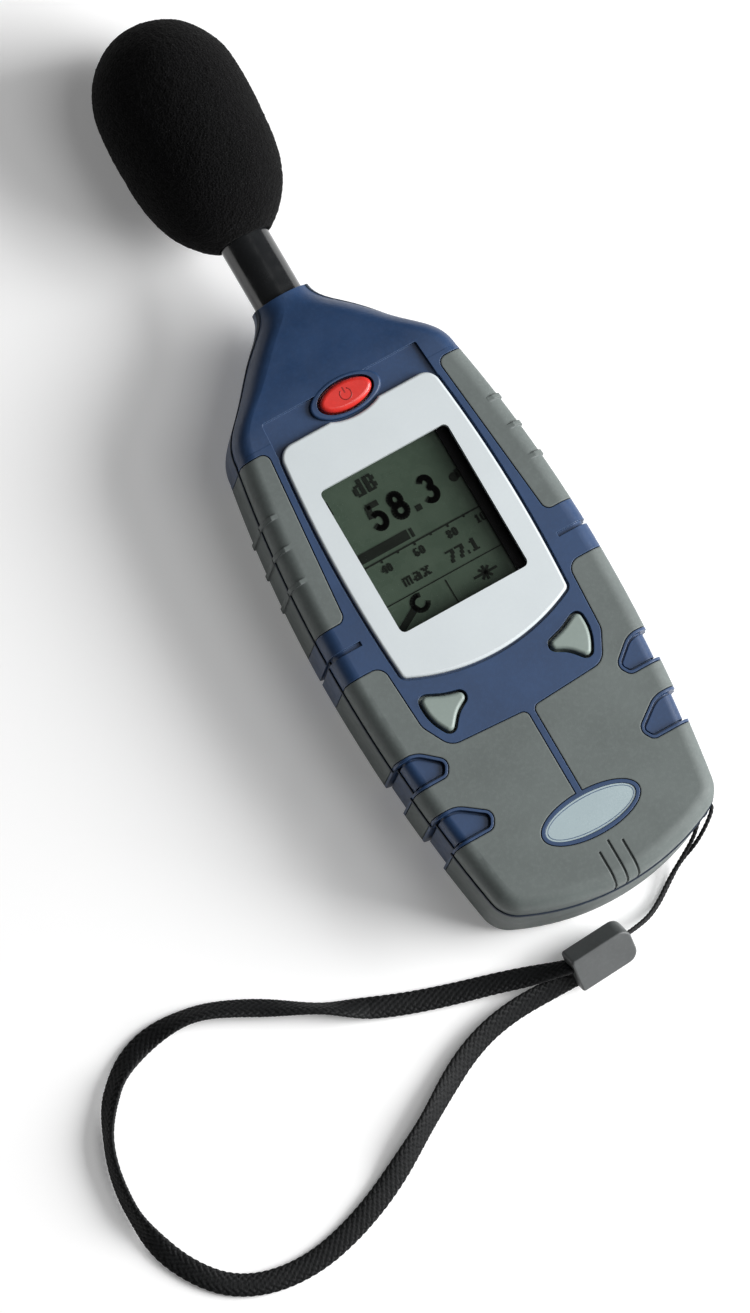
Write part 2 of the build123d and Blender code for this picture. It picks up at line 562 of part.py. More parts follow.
STRAP_ROUTE = [
    (-18.2, -129.4, 7.5), (-26.4, -126.8, 4.9), (-35.5, -123.6, 2.5), (-46.2, -120.6, 1.65),
    (-57.6, -117.0, 1.65), (-68.5, -112.4, 1.65), (-78.5, -106.8, 1.65), (-88.4, -100.9, 1.65),
    (-95.7, -97.1, 1.65), (-102.0, -94.6, 1.65), (-108.6, -93.6, 1.65), (-115.5, -93.9, 1.65),
    (-121.9, -95.7, 1.65), (-127.7, -98.9, 1.65), (-132.6, -103.8, 1.65), (-136.4, -110.0, 1.65),
    (-138.9, -116.5, 1.65), (-140.2, -123.3, 1.65), (-140.5, -130.2, 1.65), (-139.5, -137.2, 1.65),
    (-137.2, -143.9, 1.65), (-133.8, -149.8, 1.65), (-129.3, -154.9, 1.65), (-123.0, -158.6, 1.65),
    (-115.3, -160.5, 1.65), (-106.5, -160.6, 1.65), (-97.3, -158.7, 1.65), (-88.6, -155.7, 1.65),
    (-81.2, -152.3, 1.65), (-73.8, -148.3, 1.65), (-66.1, -143.9, 1.65), (-58.8, -139.4, 1.65),
    (-51.4, -135.4, 1.65), (-43.6, -132.6, 1.65), (-35.3, -131.3, 1.9), (-27.0, -131.2, 2.9),
    (-18.2, -131.7, 4.4),
]
save(tube(STRAP_ROUTE, STRAP_D, 3 * STRAP_D, "strap_loop"), "strap_loop")

# The thin cord runs from the joiner, round the lug and back, one strand above the other.
CORD_ROUTE = [
    (-3.0, -129.0, 5.2), (3.2, -128.4, 2.6), (8.9, -126.0, 0.8), (14.3, -122.3, 0.9), (18.4, -119.6, 2.6),
    (23.3, -118.1, 5.6), (27.6, -115.5, 8.8), (31.32, -112.32, 9.5), (29.45, -110.45, 9.5),
    (26.2, -113.8, 9.5), (23.3, -116.7, 7.4), (18.9, -119.3, 4.7), (14.0, -122.0, 2.5),
    (8.6, -125.8, 2.2), (3.0, -128.3, 4.2), (-3.0, -129.0, 6.8),
]
save(tube(CORD_ROUTE, CORD_D, CORD_D, "strap_cord"), "strap_cord")
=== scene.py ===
import json
import math

import bmesh
import bpy
from mathutils import Matrix, Vector, noise


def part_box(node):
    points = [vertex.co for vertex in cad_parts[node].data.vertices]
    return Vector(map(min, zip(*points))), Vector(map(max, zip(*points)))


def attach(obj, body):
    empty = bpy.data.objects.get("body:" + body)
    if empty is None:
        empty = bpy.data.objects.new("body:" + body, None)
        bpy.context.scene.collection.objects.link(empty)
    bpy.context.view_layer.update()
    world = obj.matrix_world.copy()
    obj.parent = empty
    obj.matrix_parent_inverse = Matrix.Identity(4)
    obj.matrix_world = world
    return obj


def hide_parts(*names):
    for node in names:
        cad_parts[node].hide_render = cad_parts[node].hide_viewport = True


# Looks of a hand-held sound level meter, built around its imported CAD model. Metres.

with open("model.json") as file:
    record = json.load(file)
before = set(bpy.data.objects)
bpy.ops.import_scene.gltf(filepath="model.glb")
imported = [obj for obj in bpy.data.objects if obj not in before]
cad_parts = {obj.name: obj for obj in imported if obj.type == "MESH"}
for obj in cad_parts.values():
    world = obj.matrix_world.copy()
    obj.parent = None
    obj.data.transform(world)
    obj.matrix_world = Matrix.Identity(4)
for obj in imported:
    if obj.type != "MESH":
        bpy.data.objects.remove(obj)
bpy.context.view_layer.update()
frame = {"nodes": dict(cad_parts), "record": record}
NODES = frame["nodes"]
MM = 0.001

# ------------------------------------------------------------------ camera
TARGET = Vector((-0.02322, -0.04130, 0.015))
DISTANCE = 2.5
TOWARDS_LEFT = math.radians(10.64)    # how far the camera stands towards -X
TOWARDS_END = math.radians(7.54)      # and towards -Y
ROLL = math.radians(-30.36)
SENSOR = 36.0
LENS = 283.8


def add_camera():
    back = Vector((-math.sin(TOWARDS_LEFT) * math.cos(TOWARDS_END), -math.sin(TOWARDS_END),
                   math.cos(TOWARDS_LEFT) * math.cos(TOWARDS_END)))
    right = Vector((0, 1, 0)).cross(back).normalized()
    up = back.cross(right)
    across = right * math.cos(ROLL) + up * math.sin(ROLL)
    upright = up * math.cos(ROLL) - right * math.sin(ROLL)
    data = bpy.data.cameras.new("camera")
    data.sensor_width = SENSOR
    data.lens = LENS
    data.clip_end = 20.0
    camera = bpy.data.objects.new("camera", data)
    turn = Matrix((across, upright, back)).transposed().to_4x4()
    camera.matrix_world = Matrix.Translation(TARGET + back * DISTANCE) @ turn
    bpy.context.scene.collection.objects.link(camera)
    bpy.context.scene.camera = camera


add_camera()


# ------------------------------------------------------------------ materials
class Shader:
    """A node material around one Principled shader, with helpers for its textures."""

    def __init__(self, name):
        self.material = bpy.data.materials.new(name)
        self.material.use_nodes = True
        self.tree = self.material.node_tree
        self.principled = self.tree.nodes["Principled BSDF"]
        self.place = self.tree.nodes.new("ShaderNodeTexCoord").outputs["Object"]

    def link(self, output, socket):
        self.tree.links.new(output, socket)

    def node(self, kind, **values):
        made = self.tree.nodes.new(kind)
        for key, value in values.items():
            setattr(made, key, value)
        return made

    def noise(self, size, detail=3.0, rough=0.55):
        """Noise whose features are about size metres across."""
        texture = self.node("ShaderNodeTexNoise")
        texture.inputs["Scale"].default_value = 1.0 / size
        texture.inputs["Detail"].default_value = detail
        texture.inputs["Roughness"].default_value = rough
        self.link(self.place, texture.inputs["Vector"])
        return texture.outputs["Fac"]

    def cells(self, size):
        texture = self.node("ShaderNodeTexVoronoi")
        texture.inputs["Scale"].default_value = 1.0 / size
        self.link(self.place, texture.inputs["Vector"])
        return texture.outputs["Distance"]

    def spread(self, value, low, high, start=0.3, end=0.7):
        """Maps a value from start..end to low..high."""
        ranged = self.node("ShaderNodeMapRange")
        ranged.inputs["From Min"].default_value = start
        ranged.inputs["From Max"].default_value = end
        ranged.inputs["To Min"].default_value = low
        ranged.inputs["To Max"].default_value = high
        self.link(value, ranged.inputs["Value"])
        return ranged.outputs["Result"]

    def mix(self, factor, first, second):
        """A colour between two colours, each an output or three numbers."""
        mixed = self.node("ShaderNodeMix", data_type="RGBA")
        self.link(factor, mixed.inputs[0])
        for socket, colour in ((mixed.inputs[6], first), (mixed.inputs[7], second)):
            if isinstance(colour, tuple):
                socket.default_value = (*colour, 1.0)
            else:
                self.link(colour, socket)
        return mixed.outputs[2]

    def bump(self, height, depth, under=None):
        """A bump of depth metres, over another bump if one is given."""
        bumped = self.node("ShaderNodeBump")
        bumped.inputs["Distance"].default_value = depth
        self.link(height, bumped.inputs["Height"])
        if under:
            self.link(under, bumped.inputs["Normal"])
        return bumped.outputs["Normal"]

    def edges(self, radius):
        """How much an edge lies within radius: 0 on the flat, up to 1 on a sharp edge."""
        rounded = self.node("ShaderNodeBevel", samples=6)
        rounded.inputs["Radius"].default_value = radius
        geometry = self.node("ShaderNodeNewGeometry")
        turned = self.node("ShaderNodeVectorMath", operation="DOT_PRODUCT")
        self.link(rounded.outputs["Normal"], turned.inputs[0])
        self.link(geometry.outputs["Normal"], turned.inputs[1])
        return self.spread(turned.outputs["Value"], 1.0, 0.0, 0.80, 0.99)


def shade(colour, factor):
    return tuple(min(1.0, c * factor) for c in colour)


def moulded(name, colour, rough=0.45, grain=0.35 * MM, depth=0.012 * MM, vary=0.12, wear=None,
            specular=0.5, coat=0.0, soften=0.0, specked=0.25):
    """Moulded plastic or rubber: fine spark-eroded grain, cloudy colour, rubbed edges."""
    shader = Shader(name)
    clouds = shader.noise(14 * MM, 4.0)
    specks = shader.noise(0.9 * MM, 2.0)
    base = shader.mix(shader.spread(clouds, 0.0, 1.0), shade(colour, 1 - vary), shade(colour, 1 + vary))
    base = shader.mix(shader.spread(specks, 0.0, specked, 0.45, 0.75), base, shade(colour, 1.5))
    if wear:
        base = shader.mix(shader.edges(0.35 * MM), base, wear)
    shader.link(base, shader.principled.inputs["Base Color"])
    fine = shader.noise(grain, 2.0, 0.6)
    scuffs = shader.noise(5 * MM, 5.0, 0.7)
    shader.link(shader.spread(scuffs, rough - 0.06, rough + 0.09), shader.principled.inputs["Roughness"])
    under = None
    if soften:
        bevel = shader.node("ShaderNodeBevel", samples=6)
        bevel.inputs["Radius"].default_value = soften
        under = bevel.outputs["Normal"]
    shader.link(shader.bump(fine, depth, under), shader.principled.inputs["Normal"])
    shader.principled.inputs["Specular IOR Level"].default_value = specular
    shader.principled.inputs["Coat Weight"].default_value = coat
    shader.principled.inputs["Coat Roughness"].default_value = 0.12
    return shader.material


def metal(name, colour, rough=0.3):
    """Plain metal, lightly stained, with a fine uneven finish."""
    shader = Shader(name)
    lines = shader.noise(0.5 * MM, 3.0, 0.6)
    stain = shader.noise(4 * MM, 4.0)
    tint = shader.mix(shader.spread(stain, 0.0, 1.0), shade(colour, 0.82), shade(colour, 1.1))
    shader.link(tint, shader.principled.inputs["Base Color"])
    shader.link(shader.spread(lines, rough - 0.08, rough + 0.14), shader.principled.inputs["Roughness"])
    shader.link(shader.bump(lines, 0.006 * MM), shader.principled.inputs["Normal"])
    shader.principled.inputs["Metallic"].default_value = 1.0
    return shader.material


def circuit_material():
    """Green solder mask with darker tracks and small bright pads."""
    shader = Shader("solder_mask")
    tracks = shader.node("ShaderNodeTexBrick")
    tracks.inputs["Scale"].default_value = 1 / (9 * MM)
    tracks.inputs["Mortar Size"].default_value = 0.03
    shader.link(shader.place, tracks.inputs["Vector"])
    pads = shader.cells(2.2 * MM)
    green = shader.mix(tracks.outputs["Fac"], (0.012, 0.10, 0.045), (0.03, 0.22, 0.09))
    both = shader.mix(shader.spread(pads, 1.0, 0.0, 0.10, 0.14), green, (0.55, 0.50, 0.35))
    shader.link(both, shader.principled.inputs["Base Color"])
    shader.link(shader.spread(pads, 0.25, 0.42), shader.principled.inputs["Roughness"])
    shader.link(shader.bump(tracks.outputs["Fac"], 0.03 * MM), shader.principled.inputs["Normal"])
    return shader.material


def glass_material():
    """Clear window: a thin pane that lets the display show, with a light smear of handling."""
    shader = Shader("clear_window")
    smear = shader.noise(6 * MM, 5.0, 0.7)
    shader.principled.inputs["Base Color"].default_value = (0.02, 0.02, 0.02, 1)
    shader.principled.inputs["Alpha"].default_value = 0.05
    shader.principled.inputs["IOR"].default_value = 1.49
    shader.link(shader.spread(smear, 0.04, 0.16), shader.principled.inputs["Roughness"])
    shader.link(shader.bump(smear, 0.002 * MM), shader.principled.inputs["Normal"])
    return shader.material


def lcd_material():
    """Liquid-crystal glass: grey-green, mottled, with the faint grid of its dots."""
    shader = Shader("liquid_crystal")
    mottle = shader.noise(7 * MM, 4.0)
    dots = shader.node("ShaderNodeTexChecker")
    dots.inputs["Scale"].default_value = 1 / (0.3 * MM)
    shader.link(shader.place, dots.inputs["Vector"])
    low, high = (0.050, 0.075, 0.053), (0.065, 0.093, 0.067)
    green = shader.mix(shader.spread(mottle, 0.0, 1.0), low, high)
    grid = shader.spread(dots.outputs["Fac"], 0.0, 0.12, 0.0, 1.0)
    green = shader.mix(grid, green, (0.034, 0.053, 0.037))
    shader.link(green, shader.principled.inputs["Base Color"])
    shader.link(shader.spread(mottle, 0.22, 0.34), shader.principled.inputs["Roughness"])
    shader.link(shader.bump(mottle, 0.004 * MM), shader.principled.inputs["Normal"])
    shader.principled.inputs["Specular IOR Level"].default_value = 0.08
    return shader.material


def foam_material():
    """Open-cell acoustic foam: black, matt, full of pores, with painted shade in the pores and painted
    glints on the cell walls.
    """
    shader = Shader("acoustic_foam")
    pores = shader.cells(0.55 * MM)
    fluff = shader.noise(0.25 * MM, 2.0, 0.7)
    # Painted shade: each pore is painted darker towards its centre, where the bump sinks it into a pit.
    depth = shader.spread(pores, 0.0, 1.0, 0.1, 0.6)
    tone = shader.mix(depth, (0.0010, 0.0010, 0.0011), (0.0040, 0.0040, 0.0042))
    # Painted highlight: bright specks painted into the colour stand in for glints of light on the cell
    # walls.
    painted_glint = shader.spread(fluff, 0.0, 0.7, 0.62, 0.74)
    tone = shader.mix(painted_glint, tone, (0.055, 0.056, 0.057))
    shader.link(tone, shader.principled.inputs["Base Color"])
    shader.link(shader.spread(fluff, 0.75, 1.0), shader.principled.inputs["Roughness"])
    first = shader.bump(pores, 0.25 * MM)
    shader.link(shader.bump(fluff, 0.12 * MM, first), shader.principled.inputs["Normal"])
    shader.principled.inputs["Specular IOR Level"].default_value = 0.05
    shader.principled.inputs["Sheen Weight"].default_value = 0.02
    shader.principled.inputs["Sheen Roughness"].default_value = 0.6
    return shader.material


def woven_material():
    """Black polyester yarn: fibres along each strand, a soft sheen, and painted shade in the hollows
    between the strands' crowns.
    """
    shader = Shader("woven_polyester")
    fibres = shader.noise(0.16 * MM, 3.0, 0.7)
    dust = shader.noise(2.5 * MM, 3.0)
    crown = shader.node("ShaderNodeAttribute", attribute_name="crown").outputs["Fac"]
    tone = shader.mix(shader.spread(fibres, 0.0, 1.0), (0.002, 0.0022, 0.0025), (0.012, 0.013, 0.014))
    # Painted shade: the hollows between strands and plies, where crown is low, are painted darker.
    tone = shader.mix(shader.spread(crown, 1.0, 0.0, 0.15, 0.85), tone, (0.0015, 0.0016, 0.0018))
    tone = shader.mix(shader.spread(dust, 0.0, 0.12, 0.5, 0.8), tone, (0.018, 0.0195, 0.021))
    shader.link(tone, shader.principled.inputs["Base Color"])
    shader.link(shader.spread(fibres, 0.48, 0.72), shader.principled.inputs["Roughness"])
    shader.link(shader.bump(fibres, 0.05 * MM), shader.principled.inputs["Normal"])
    shader.principled.inputs["Specular IOR Level"].default_value = 0.2
    shader.principled.inputs["Sheen Weight"].default_value = 0.04
    shader.principled.inputs["Sheen Roughness"].default_value = 0.4
    return shader.material


NAVY = (0.018, 0.047, 0.118)
RUBBER = (0.112, 0.131, 0.126)
MATERIALS = {
    "case_blue": moulded("navy_plastic", NAVY, 0.42, wear=(0.045, 0.088, 0.18), soften=0.25 * MM),
    "case_rubber": moulded("grey_rubber", RUBBER, 0.60, 0.30 * MM, 0.016 * MM, 0.10,
                           wear=(0.150, 0.162, 0.165), soften=0.45 * MM),
    "bezel_silver": moulded("silver_lacquer", (0.63, 0.68, 0.70), 0.34, 0.2 * MM, 0.001 * MM, 0.02,
                            coat=0.3, specked=0.03),
    "window_clear": glass_material(),
    "lcd": lcd_material(),
    "inner_black": moulded("black_plastic", (0.004, 0.004, 0.0045), 0.6, specular=0.08),
    "inner_white": moulded("light_guide", (0.8, 0.8, 0.8), 0.4),
    "circuit_board": circuit_material(),
    "steel": metal("plain_steel", (0.56, 0.57, 0.58), 0.3),
    "brass": metal("brass", (0.70, 0.52, 0.24), 0.3),
    "keys_grey": moulded("key_plastic", (0.235, 0.285, 0.262), 0.40, 0.3 * MM, 0.006 * MM, 0.05,
                         wear=(0.34, 0.39, 0.37), specked=0.08),
    "button_red": moulded("red_plastic", (0.66, 0.030, 0.022), 0.34, 0.3 * MM, 0.004 * MM, 0.06,
                          coat=0.25),
    "keypad_rubber": moulded("black_rubber", (0.02, 0.02, 0.022), 0.7),
    "badge_pale": moulded("badge_film", (0.335, 0.42, 0.445), 0.28, 0.2 * MM, 0.001 * MM, 0.03, coat=0.4,
                          specked=0.03),
    "label": moulded("label_film", (0.55, 0.56, 0.57), 0.38, 0.3 * MM, 0.003 * MM, 0.04),
    "neck_black": moulded("black_anodising", (0.010, 0.011, 0.012), 0.20, 0.25 * MM, 0.002 * MM, 0.15,
                          specular=0.7, coat=0.3),
    "capsule_metal": metal("nickel", (0.60, 0.59, 0.57), 0.25),
    "foam_black": foam_material(),
    "battery_wrap": moulded("battery_wrap", (0.03, 0.03, 0.035), 0.3),
    "pad_foam": foam_material(),
    "ferrule_grey": moulded("ferrule_plastic", (0.085, 0.090, 0.091), 0.45, 0.3 * MM, 0.01 * MM, 0.1,
                            wear=(0.17, 0.18, 0.18)),
    "strap_black": woven_material(),
}


# Nodes whose finish isn't their slot's: the seam bead lies in shade between two layers of rubber, so it is
# painted a darker, duller blue as painted shade.
NODE_FINISH = {"seam_bead": moulded("seam_painted_shade", (0.020, 0.030, 0.048), 0.55, specular=0.2)}


def dress_cad_nodes():
    """Gives every CAD node the material of its slot, or its own from NODE_FINISH."""
    for part in frame["record"]["subparts"]:
        node = NODES[part["node"]]
        finish = NODE_FINISH.get(part["node"], MATERIALS[part["material_slot"]])
        if not node.material_slots:
            node.data.materials.append(finish)
        for place in node.material_slots:
            place.material = finish


dress_cad_nodes()


# ------------------------------------------------------------------ mesh helpers
def make_piece(name, mesh, slot, body="root", smooth=True, finish=None):
    """Links a finished mesh as one piece that rides on a body."""
    for face in mesh.polygons:
        face.use_smooth = smooth
    mesh.materials.append(finish or MATERIALS[slot])
    piece = bpy.data.objects.new(name, mesh)
    bpy.context.scene.collection.objects.link(piece)
    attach(piece, body)
    return piece


def mesh_from(name, points, faces):
    mesh = bpy.data.meshes.new(name)
    mesh.from_pydata(points, [], faces)
    mesh.update()
    return mesh


def ring_tube(name, rings):
    """A closed tube through rings of points, capped at both ends."""
    count = len(rings[0])
    points = [p for ring in rings for p in ring]
    faces = []
    for i in range(len(rings) - 1):
        for j in range(count):
            k = (j + 1) % count
            faces.append((i * count + j, i * count + k, (i + 1) * count + k, (i + 1) * count + j))
    last = (len(rings) - 1) * count
    faces.append(tuple(reversed(range(count))))
    faces.append(tuple(last + j for j in range(count)))
    return mesh_from(name, points, faces)


# ------------------------------------------------------------------ cords
STRAP_ROUTE = (
    (-18.2, -129.4, 7.5), (-26.4, -126.8, 4.9), (-35.5, -123.6, 2.9), (-46.2, -120.6, 2.1),
    (-57.6, -117.0, 2.0), (-68.5, -112.4, 2.2), (-78.5, -106.8, 2.4), (-88.4, -100.9, 2.0),
    (-95.7, -97.1, 1.65), (-102.0, -94.6, 1.65), (-108.6, -93.6, 1.65), (-115.5, -93.9, 1.65),
    (-121.9, -95.7, 1.8), (-127.7, -98.9, 2.0), (-132.6, -103.8, 2.2), (-136.4, -110.0, 2.4),
    (-138.9, -116.5, 2.4), (-140.2, -123.3, 2.4), (-140.5, -130.2, 2.4), (-139.5, -137.2, 2.3),
    (-137.2, -143.9, 2.1), (-133.8, -149.8, 1.9), (-129.3, -154.9, 1.7), (-123.0, -158.6, 1.65),
    (-115.3, -160.5, 1.65), (-106.5, -160.6, 1.65), (-97.3, -158.7, 1.65), (-88.6, -155.7, 1.65),
    (-81.2, -152.3, 1.65), (-73.8, -148.3, 1.65), (-66.1, -143.9, 1.7), (-58.8, -139.4, 1.9),
    (-51.4, -135.4, 2.0), (-43.6, -132.6, 2.0), (-35.3, -131.3, 2.1), (-27.0, -131.2, 2.9),
    (-18.2, -131.7, 4.4),
)
CORD_ROUTE = (
    (-3.0, -129.0, 5.2), (3.2, -128.4, 2.6), (8.9, -126.0, 0.8), (14.3, -122.3, 0.9), (18.4, -119.6, 2.6),
    (23.3, -118.1, 5.6), (27.6, -115.5, 8.8), (31.32, -112.32, 9.5), (29.45, -110.45, 9.5),
    (26.2, -113.8, 9.5), (23.3, -116.7, 7.4), (18.9, -119.3, 4.7), (14.0, -122.0, 2.5),
    (8.6, -125.8, 2.2), (3.0, -128.3, 4.2), (-3.0, -129.0, 6.8),
)
STRAP_WIDTH = 5.8 * MM
STRAP_THICK = 1.8 * MM
CORD_WIDTH = 1.1 * MM
STRAP_STEP = 0.2          # millimetres between the strap's cross-sections
STRAP_SIDES = 56          # points round each of them
CORD_STEP = 0.14          # the same for the thin cord
CORD_SIDES = 14
PLY_TURN = 2.4            # millimetres in which the thin cord's plies go once round
BRAID_LONG = 1.9 * MM     # length and width of one strand's crossing
BRAID_WIDE = 1.5 * MM
BRAID_RISE = 0.34 * MM    # how far a strand's crown stands above the hollows


def spline_points(route, step):
    """Points every step metres along the bare NURBS spline of a route given in millimetres."""
    curve = bpy.data.curves.new("route", "CURVE")
    curve.dimensions = "3D"
    curve.resolution_u = 32
    spline = curve.splines.new("NURBS")
    spline.points.add(len(route) - 1)
    for point, place in zip(spline.points, route):
        point.co = (*(c * MM for c in place), 1.0)
    spline.order_u = 3
    spline.use_endpoint_u = True
    holder = bpy.data.objects.new("route", curve)
    bpy.context.scene.collection.objects.link(holder)
    bpy.context.view_layer.update()
    line = bpy.data.meshes.new_from_object(holder)
    raw = [v.co.copy() for v in line.vertices]
    bpy.data.objects.remove(holder)
    spaced, carried = [raw[0]], 0.0
    for before, after in zip(raw, raw[1:]):
        length = (after - before).length
        while length > 0 and carried + length >= step:
            before = before.lerp(after, (step - carried) / length)
            length = (after - before).length
            carried = 0.0
            spaced.append(before.copy())
        carried += length
    spaced.append(raw[-1])
    return spaced


def smooth_keys(keys, x):
    """A value that eases between (place, value) keys."""
    for (x0, a), (x1, b) in zip(keys, keys[1:]):
        if x <= x1:
            t = max(0.0, (x - x0) / (x1 - x0))
            return a + (b - a) * t * t * (3 - 2 * t)
    return keys[-1][1]


def braid_height(along, across):
    """Height, 0 to 1, of a flat braid: two sets of slanted strands that pass over and under."""
    lean = along / BRAID_LONG
    cross = across / BRAID_WIDE
    first, second = lean + cross, lean - cross
    over = (math.floor(first) + math.floor(second)) % 2
    phase = (first if over else second) % 1.0
    return math.sin(math.pi * phase) ** 0.7


# Share of the strap's length, and the degrees its face leans there.
STRAP_LEAN = (
    (0.0, 47.0), (0.05, 20.0), (0.155, 5.0), (0.21, 58.0), (0.26, 34.0), (0.315, 44.0),
    (0.36, 20.0), (0.405, 50.0), (0.45, 76.0), (0.505, 68.0), (0.56, 20.0), (0.625, 5.0),
    (0.70, 0.0), (0.755, 8.0), (0.825, 44.0), (0.875, 30.0), (0.95, 34.0), (1.0, 45.0),
)


def add_strap():
    """Wrist strap: a flat braided tape that leaves the joiner and comes back to it."""
    path = spline_points(STRAP_ROUTE, STRAP_STEP * MM)
    # The tape rests on the table by its lower edge, so it stands higher where it leans.
    for i, centre in enumerate(path):
        lean = math.radians(smooth_keys(STRAP_LEAN, i / (len(path) - 1)))
        resting = (STRAP_WIDTH * math.sin(lean) + STRAP_THICK * math.cos(lean)) / 2
        centre.z = max(resting, centre.z - 0.6 * MM)
    rings, crowns = [], []
    for i, centre in enumerate(path):
        tangent = (path[min(i + 1, len(path) - 1)] - path[max(i - 1, 0)]).normalized()
        side = tangent.cross(Vector((0, 0, 1))).normalized()
        share = i / (len(path) - 1)
        lean = Matrix.Rotation(math.radians(smooth_keys(STRAP_LEAN, share)), 3, tangent)
        side = lean @ side
        face = side.cross(tangent).normalized()
        along = i * STRAP_STEP * MM
        ring = []
        for j in range(STRAP_SIDES):
            angle = math.tau * j / STRAP_SIDES
            x = math.copysign(abs(math.cos(angle)) ** 0.75, math.cos(angle))
            y = math.copysign(abs(math.sin(angle)) ** 0.75, math.sin(angle))
            across = x * STRAP_WIDTH / 2
            crown = braid_height(along, across)
            crowns.append(crown)
            rise = crown * BRAID_RISE
            wide = STRAP_WIDTH / 2 - 0.24 * MM + rise * 0.6
            thick = STRAP_THICK / 2 - BRAID_RISE + rise
            ring.append(centre + side * (x * wide) + face * (y * thick))
        rings.append(ring)
    mesh = ring_tube("wrist_strap", rings)
    mesh.attributes.new("crown", "FLOAT", "POINT").data.foreach_set("value", crowns)
    strap = make_piece("wrist_strap", mesh, "strap_black")
    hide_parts("strap_loop")


def add_thin_cord():
    """Thin cord from the joiner, round the lug and back: two plies twisted together."""
    path = spline_points(CORD_ROUTE, CORD_STEP * MM)
    rings, crowns = [], []
    for i, centre in enumerate(path):
        tangent = (path[min(i + 1, len(path) - 1)] - path[max(i - 1, 0)]).normalized()
        side = tangent.cross(Vector((0, 0, 1))).normalized()
        face = side.cross(tangent).normalized()
        twist = i * CORD_STEP * MM / (PLY_TURN * MM) * math.tau
        ring = []
        for j in range(CORD_SIDES):
            angle = math.tau * j / CORD_SIDES
            crowns.append(abs(math.cos(angle - twist)))
            radius = CORD_WIDTH / 2 * (0.80 + 0.20 * crowns[-1])
            ring.append(centre + (side * math.cos(angle) + face * math.sin(angle)) * radius)
        rings.append(ring)
    mesh = ring_tube("thin_cord", rings)
    mesh.attributes.new("crown", "FLOAT", "POINT").data.foreach_set("value", crowns)
    cord = make_piece("thin_cord", mesh, "strap_black")
    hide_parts("strap_cord")


add_strap()
add_thin_cord()


# ------------------------------------------------------------------ foam windscreen
FOAM_CELL = 0.55 * MM     # voxel size of the remesh
FOAM_BORE = 8.0 * MM      # the skin inside this radius of the neck is left smooth
FOAM_TIP = 20 * MM        # except over this much at the tip


def add_windscreen():
    """Foam ball: the CAD egg, remeshed finely, with a soft uneven skin of open cells."""
    source = NODES["windscreen"]
    foam = bpy.data.objects.new("foam_windscreen", source.data.copy())
    bpy.context.scene.collection.objects.link(foam)
    remesh = foam.modifiers.new("remesh", "REMESH")
    remesh.mode = "VOXEL"
    remesh.voxel_size = FOAM_CELL
    bpy.context.view_layer.update()
    fine = bpy.data.meshes.new_from_object(foam.evaluated_get(bpy.context.evaluated_depsgraph_get()))
    bpy.data.objects.remove(foam)
    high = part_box("windscreen")[1]
    neck_low, neck_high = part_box("microphone_neck")
    axis_x = (neck_low.x + neck_high.x) / 2
    axis_z = (neck_low.z + neck_high.z) / 2
    normals = [v.normal.copy() for v in fine.vertices]
    for vertex, normal in zip(fine.vertices, normals):
        off_axis = math.hypot(vertex.co.x - axis_x, vertex.co.z - axis_z)
        if off_axis < FOAM_BORE and vertex.co.y < high.y - FOAM_TIP:
            continue
        lumps = noise.noise(vertex.co / (9 * MM)) * 0.22
        cells = noise.noise(vertex.co / (0.9 * MM)) * 0.16 + noise.noise(vertex.co / (0.45 * MM)) * 0.12
        vertex.co += normal * ((lumps + cells - 0.08) * MM)
    fine.materials.clear()
    piece = make_piece("foam_windscreen", fine, "foam_black", "windscreen")
    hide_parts("windscreen")


add_windscreen()


# ------------------------------------------------------------------ display content
GLYPHS = {
    "0": "01110 11011 11011 11011 11011 11011 01110",
    "1": "00110 01110 00110 00110 00110 00110 01111",
    "4": "00011 00111 01011 11011 11111 00011 00011",
    "6": "01110 11000 11000 11110 11011 11011 01110",
    "7": "11111 00011 00011 00110 00110 01100 01100",
    "8": "01110 11011 11011 01110 11011 11011 01110",
    ".": "0 0 0 0 0 1 1",
    "d": "00011 00011 01111 11011 11011 11011 01111",
    "B": "11110 11011 11011 11110 11011 11011 11110",
    "m": "00000 00000 11111 10101 10101 10101 10101",
    "a": "00000 00000 01110 00011 01111 11011 01111",
    "x": "00000 00000 11011 01110 00100 01110 11011",
}
INK_RISE = 0.03 * MM      # gap between the glass and the marks
INK_THICK = 0.15 * MM
ARC_STEPS = 18


class Ink:
    """Dark marks on the display, gathered into one mesh of thin closed slabs."""

    def __init__(self, height):
        self.mesh = bmesh.new()
        self.height = height

    def slab(self, outline):
        low = [self.mesh.verts.new((x * MM, y * MM, self.height)) for x, y in outline]
        high = [self.mesh.verts.new((x * MM, y * MM, self.height + INK_THICK)) for x, y in outline]
        self.mesh.faces.new(list(reversed(low)))
        self.mesh.faces.new(high)
        for i in range(len(outline)):
            k = (i + 1) % len(outline)
            self.mesh.faces.new((low[i], low[k], high[k], high[i]))

    def bar(self, x0, y0, x1, y1):
        self.slab([(x0, y0), (x1, y0), (x1, y1), (x0, y1)])

    def text(self, words, x, y, cell_x, cell_y, gap=0.08):
        """Dot-matrix text whose lower left corner is at x, y. Rows of dots that touch become bars."""
        for letter in words:
            rows = GLYPHS[letter].split()
            for r, row in enumerate(reversed(rows)):
                start = None
                for c, dot in enumerate(row + "0"):
                    if dot == "1" and start is None:
                        start = c
                    if dot == "0" and start is not None:
                        self.bar(x + start * cell_x, y + r * cell_y, x + c * cell_x - gap * cell_x,
                                 y + (r + 1) * cell_y - 0.02 * cell_y)
                        start = None
            x += (len(rows[0]) + 1) * cell_x

    def finish(self, name):
        bmesh.ops.recalc_face_normals(self.mesh, faces=self.mesh.faces)
        made = bpy.data.meshes.new(name)
        self.mesh.to_mesh(made)
        self.mesh.free()
        return made


